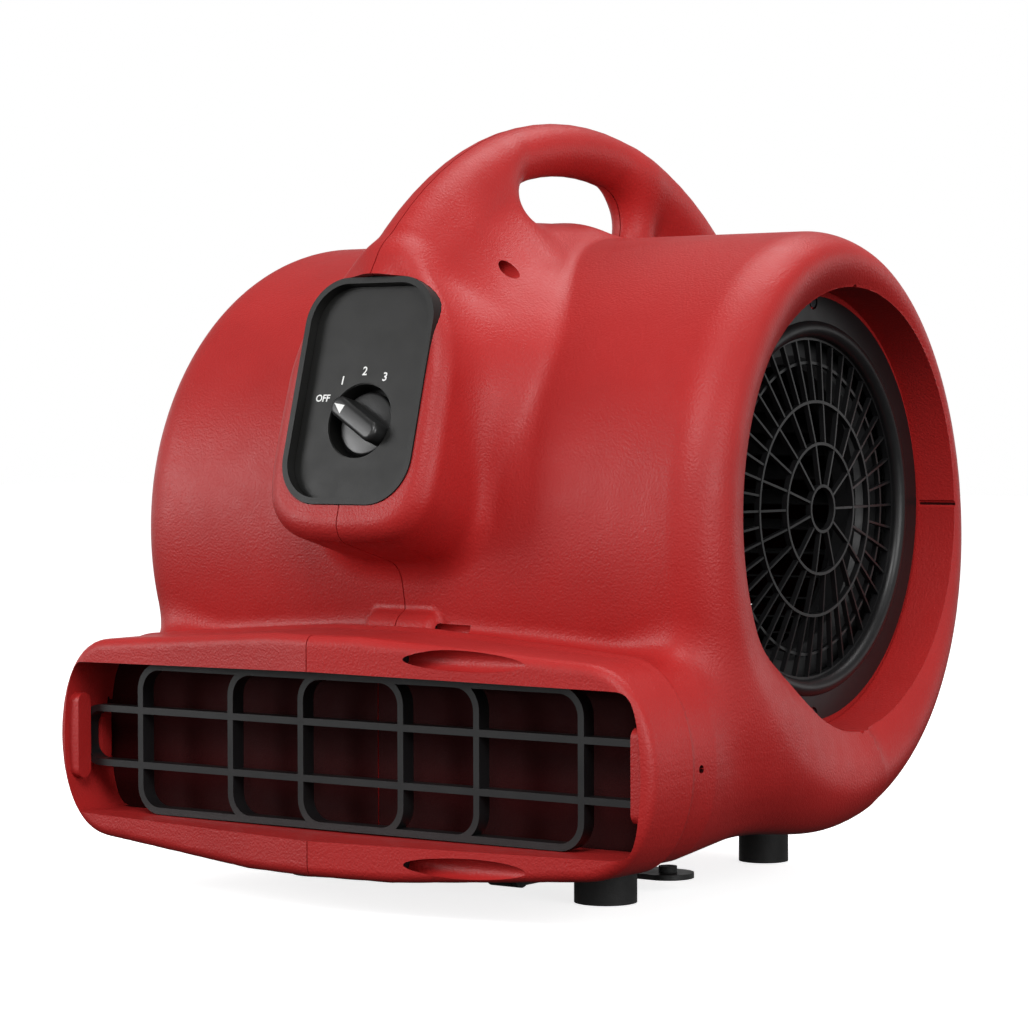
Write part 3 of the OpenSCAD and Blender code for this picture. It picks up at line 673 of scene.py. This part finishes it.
def skin_normals(o):
    """Exact normals on the outer skin, so the booleans' slivers don't show."""
    smooth(o, 34)
    me = o.data
    n = len(me.vertices)
    co = np.empty(n * 3)
    me.vertices.foreach_get("co", co)
    p = co.reshape(-1, 3) / MM
    on = np.abs(outer(*p.T)) < 0.06
    g = np.zeros_like(p)
    g[on] = newton(outer, p[on], 0)[1]
    cn = np.empty(len(me.loops) * 3, np.float32)
    me.corner_normals.foreach_get("vector", cn)
    cn = cn.reshape(-1, 3)
    vi = np.empty(len(me.loops), np.int64)
    me.loops.foreach_get("vertex_index", vi)
    start = np.empty(len(me.polygons), np.int64)
    total = np.empty(len(me.polygons), np.int64)
    me.polygons.foreach_get("loop_start", start)
    me.polygons.foreach_get("loop_total", total)
    face = np.repeat(np.arange(len(start)), total)
    fn = np.empty(len(me.polygons) * 3)
    me.polygons.foreach_get("normal", fn)
    fn = fn.reshape(-1, 3)
    aligned = (g[vi] * fn[face]).sum(1) > 0.75
    good = on[vi] & aligned
    ok = np.ones(len(start), bool)
    np.logical_and.at(ok, face, good)
    use = ok[face]
    cn[use] = g[vi[use]]
    me.normals_split_custom_set(cn)
    me.update()


def shade_inside_faces(o, m):
    """Gives the hollow's faces their own material slot, a near-black red that is painted shade."""
    me = o.data
    n = len(me.polygons)
    c = np.empty(n * 3)
    me.polygons.foreach_get("center", c)
    p = c.reshape(-1, 3) / MM
    inner = (np.abs(cavity(*p.T)) < 2.6) & (outer(*p.T) < -2.0)
    me.materials.append(m)
    me.polygons.foreach_set("material_index", inner.astype(np.int32))


for o, name in zip(halves, ("housing_right_shell", "housing_left_shell")):
    o.name = o.data.name = name
    skin_normals(o)
    mat_of(o, RED)
    # painted shade: the inner faces take the near-black red shade material
    shade_inside_faces(o, SHADE_INSIDE)
    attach(o, "machine")
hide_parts("housing_right")
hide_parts("housing_left")

# ------------------------------------------------------------------ carried-over CAD nodes
# width of the bevel that softens a node's edges, in metres
BEVEL = {"outlet_grille": 0.0011, "control_panel": 0.0009, "kickstand": 0.0008}
FOOT_BEVEL, PLAIN_BEVEL = 0.0016, 0.0004
slot_of = {s["node"]: s["material_slot"] for s in frame["record"]["subparts"]}
for name, o in nodes.items():
    m = SLOT_MAT[slot_of[name]]
    if name == "speed_knob":
        m = KNOB
    mat_of(o, m)
    if name not in ("housing_right", "housing_left"):
        bev = o.modifiers.new("soften", "BEVEL")
        wide = FOOT_BEVEL if name.startswith("foot_") else BEVEL.get(name, PLAIN_BEVEL)
        bev.width, bev.segments, bev.limit_method, bev.angle_limit = wide, 2, "ANGLE", rad(35)
        bev.harden_normals = False


# ------------------------------------------------------------------ knob and dial marks
def loft(name, rings, mat, place):
    """Closed solid through rings, each a list of (u, v, w)."""
    n = len(rings[0])
    P = np.array([p for r in rings for p in r], float)
    P = np.stack(place(P[:, 0], P[:, 1], P[:, 2]), 1)
    F = [tuple(range(n))[::-1], tuple(range((len(rings) - 1) * n, len(rings) * n))]
    for i in range(len(rings) - 1):
        F += [(i * n + k, i * n + (k + 1) % n, (i + 1) * n + (k + 1) % n, (i + 1) * n + k)
              for k in range(n)]
    return smooth(clean(make(name, P, F, mat)), 40)


WELL = (0.0, -18.0)
TURN = rad(60)


def on_dial(u, v, w):
    """The knob's frame: v along the pointer, w out of the panel."""
    return at_panel(WELL[0] + u * math.cos(TURN) - v * math.sin(TURN),
                    WELL[1] + u * math.sin(TURN) + v * math.cos(TURN), w)


def stadium(w, h, inset, z, lean=0.0, n=16):
    """A slot-shaped ring at height z, which falls by lean along its length."""
    r = w / 2 - inset
    turn = [rad(180 * i / n) for i in range(n + 1)]
    pts = [(r * math.cos(a), (h - w) / 2 + r * math.sin(a)) for a in turn]
    pts += [(-x, -y) for x, y in pts]
    return [(x, y, z - lean * (y + h / 2)) for x, y in pts]


DISC = ((20.4, -19.8), (20.4, -14.6), (20.2, -13.8), (19.6, -13.2), (18.8, -13.0), (9, -12.8))
BAR_W, BAR_L, BAR_EDGE, BAR_TOP, BAR_LEAN = 14.0, 46, 3.4, -0.2, 0.07
TIP, MARK_L, MARK_HALF = 19.5, 8.5, 3.1


def bar_top(y):
    return BAR_TOP + BAR_EDGE - BAR_LEAN * (y + BAR_L / 2)


disc = [[(r * math.cos(rad(5 * i)), r * math.sin(rad(5 * i)), z) for i in range(72)] for r, z in DISC]
disc = loft("knob_disc", disc, KNOB, on_dial)
levels = [stadium(BAR_W + 0.5, BAR_L, 0, -13.4), stadium(BAR_W, BAR_L, 0, -8)]
for a in range(0, 91, 15):
    levels.append(stadium(BAR_W - 0.6, BAR_L, BAR_EDGE * (1 - math.cos(rad(a))),
                          BAR_TOP + BAR_EDGE * math.sin(rad(a)), BAR_LEAN))
bar = loft("knob_pointer", levels, KNOB, on_dial)
tri = [(0, TIP), (-MARK_HALF, TIP - MARK_L), (MARK_HALF, TIP - MARK_L)]
mark = [[(x, y, bar_top(y) + dz) for x, y in tri] for dz in (-0.3, 0.08)]
mark = loft("knob_mark", mark, PRINT, on_dial)
for o in (disc, bar, mark):
    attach(o, "knob")
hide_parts("speed_knob")


LABEL_FACE = -6.17          # just above the label plate


def dial_text(name, text, size, u, v):
    """A generic dial mark, printed on the panel's label."""
    cu = bpy.data.curves.new(name, "FONT")
    cu.body, cu.size, cu.align_x, cu.align_y = text, size, "CENTER", "CENTER"
    cu.extrude, cu.shear, cu.offset = 0.06, 0.08, 0.12
    cu.resolution_u = 3
    t = bpy.data.objects.new(name, cu)
    bpy.context.scene.collection.objects.link(t)
    dg = bpy.context.evaluated_depsgraph_get()
    me = bpy.data.meshes.new_from_object(t.evaluated_get(dg))
    bpy.data.objects.remove(t)
    V = np.array([w.co[:] for w in me.vertices])
    V = np.stack(at_panel(V[:, 0] + u, V[:, 1] + v, V[:, 2] + LABEL_FACE), 1)
    o = make(name, V, [tuple(q.vertices) for q in me.polygons], PRINT)
    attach(o, "machine")


# text, size, angle to the left of straight up, distance from the dial's axis
DIAL = (("OFF", 6.4, 66, 35.5), ("1", 7.8, 36, 32), ("2", 7.8, 4, 32), ("3", 7.8, -27, 31.5))
for text, size, ang, r in DIAL:
    dial_text("dial_mark_" + text, text, size, WELL[0] - r * math.sin(rad(ang)),
              WELL[1] + r * math.cos(rad(ang)))

# ------------------------------------------------------------------ stage, lights, camera
world = bpy.data.worlds.new("studio")
world.use_nodes = True
bpy.context.scene.world = world
wn = world.node_tree
bg = wn.nodes["Background"]
tc = wn.nodes.new("ShaderNodeTexCoord")
sep = wn.nodes.new("ShaderNodeSeparateXYZ")
rp = wn.nodes.new("ShaderNodeValToRGB")
wn.links.new(tc.outputs["Generated"], sep.inputs[0])
mr = wn.nodes.new("ShaderNodeMapRange")
mr.inputs["From Min"].default_value, mr.inputs["From Max"].default_value = -1, 1
wn.links.new(sep.outputs["Z"], mr.inputs["Value"])
wn.links.new(mr.outputs["Result"], rp.inputs["Fac"])
e = rp.color_ramp.elements
e[0].position, e[0].color = 0.44, (0.03, 0.03, 0.03, 1)
e[1].position, e[1].color = 0.485, (1, 1, 1, 1)
for at, level in ((0.58, 1.0), (0.64, 0.22), (1.0, 0.30)):
    q = e.new(at)
    q.color = (level, level, level, 1)
wn.links.new(rp.outputs["Color"], bg.inputs["Color"])
bg.inputs["Strength"].default_value = 1.0

floor = make("studio_floor", [(-9000, -9000, -0.4), (9000, -9000, -0.4), (9000, 9000, -0.4),
                              (-9000, 9000, -0.4)], [(0, 1, 2, 3)])
fm = Nodes("floor_white")
fm.set(Base_Color=fm.ramp(fm.noise(2.0), [(0.0, (0.94, 0.94, 0.94, 1)), (1.0, (0.95, 0.95, 0.95, 1))]),
       Roughness=0.9, Emission_Color=(1, 1, 1, 1), Emission_Strength=0.80)
floor.data.materials.append(fm.m)
floor.visible_diffuse = False
floor.visible_glossy = False


def area(name, at, to, size, power, color=(1, 1, 1)):
    d = bpy.data.lights.new(name, "AREA")
    d.shape, d.size, d.energy, d.color = "SQUARE", size, power, color
    o = bpy.data.objects.new(name, d)
    o.location = at
    o.rotation_mode = "QUATERNION"
    o.rotation_quaternion = (Vector(to) - Vector(at)).to_track_quat("-Z", "Y")
    bpy.context.scene.collection.objects.link(o)


area("key_front", (1.1, -2.0, 2.1), (0, 0, 0.25), 1.3, 46)
area("fill_right", (2.3, -0.7, 0.8), (0, 0, 0.25), 1.1, 24)
area("fill_left", (-1.7, -1.7, 0.8), (0, 0, 0.2), 1.0, 24)
area("top_back", (0.2, 0.8, 2.3), (0, 0, 0.3), 1.5, 30)

cam = bpy.data.cameras.new("camera")
cam.lens, cam.sensor_width = 114.93, 36
co = bpy.data.objects.new("camera", cam)
bpy.context.scene.collection.objects.link(co)
az, el, roll = rad(35.636), rad(1.752), rad(-0.164)
back = Vector((math.sin(az) * math.cos(el), -math.cos(az) * math.cos(el), math.sin(el)))
right = Vector((math.cos(az), math.sin(az), 0))
up = back.cross(right)
r2 = right * math.cos(roll) + up * math.sin(roll)
u2 = -right * math.sin(roll) + up * math.cos(roll)
mat = Matrix((r2, u2, back)).transposed().to_4x4()
mat.translation = (1.2709, -1.7965, 0.3081)
co.matrix_world = mat
cam.clip_start, cam.clip_end = 0.05, 50
bpy.context.scene.camera = co
bpy.context.scene.view_settings.view_transform = "Standard"
